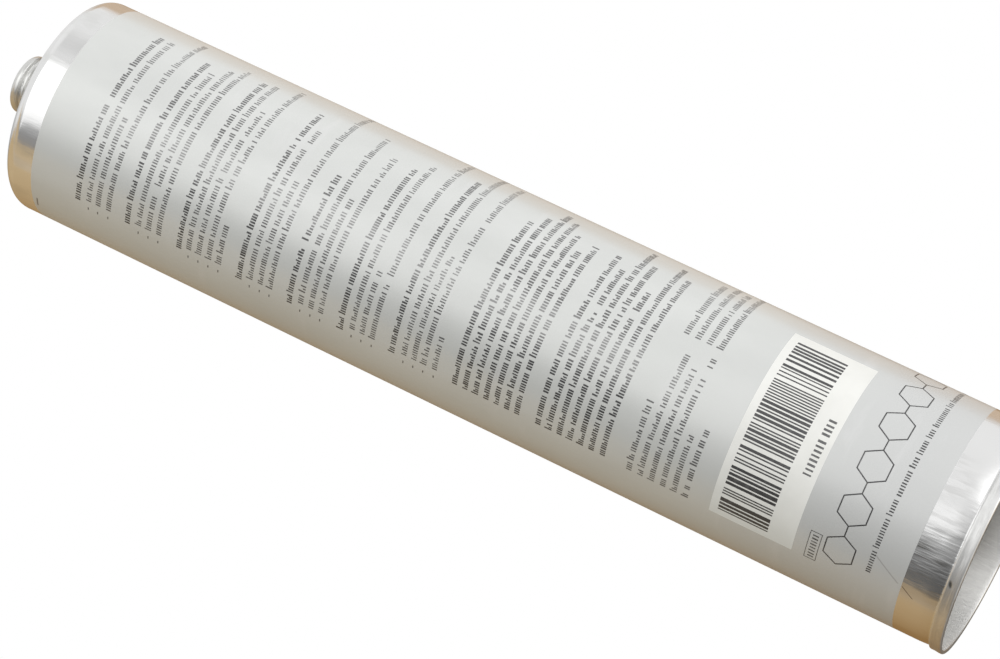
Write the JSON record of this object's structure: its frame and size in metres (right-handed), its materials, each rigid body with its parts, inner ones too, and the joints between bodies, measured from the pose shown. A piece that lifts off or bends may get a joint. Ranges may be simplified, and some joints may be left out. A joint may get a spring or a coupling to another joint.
{
  "type": "adhesive cartridge",
  "caption": "Cylindrical aluminium cartridge with a closed threaded neck, a hemmed open rear end and a sliding cup piston that pushes paste adhesive out through the neck.",
  "frame": {"origin": "centre of the rear rim, on the plane that the cartridge stands on", "axes": "+Z along the tube's axis towards the neck, the way the piston travels; -Y is the side of the tube that the picture shows"},
  "size_m": [0.0485, 0.0484, 0.2276],
  "materials": {
    "shell_aluminium": "satin silver-grey lacquer over drawn aluminium, bare and polished at both ends",
    "piston_aluminium": "plain drawn aluminium",
    "paste": "stiff black paste, satin"
  },
  "bodies": {
    "cartridge": {"cartridge_body": "shell_aluminium", "adhesive_fill": "paste"},
    "piston_cup": {"piston": "piston_aluminium"}
  },
  "joints": [
    {"name": "piston_slide", "type": "slide", "parent": "cartridge", "child": "piston_cup", "axis": [0, 0, 1], "range_m": [0, 0.182], "deforming": ["adhesive_fill"]}
  ]
}
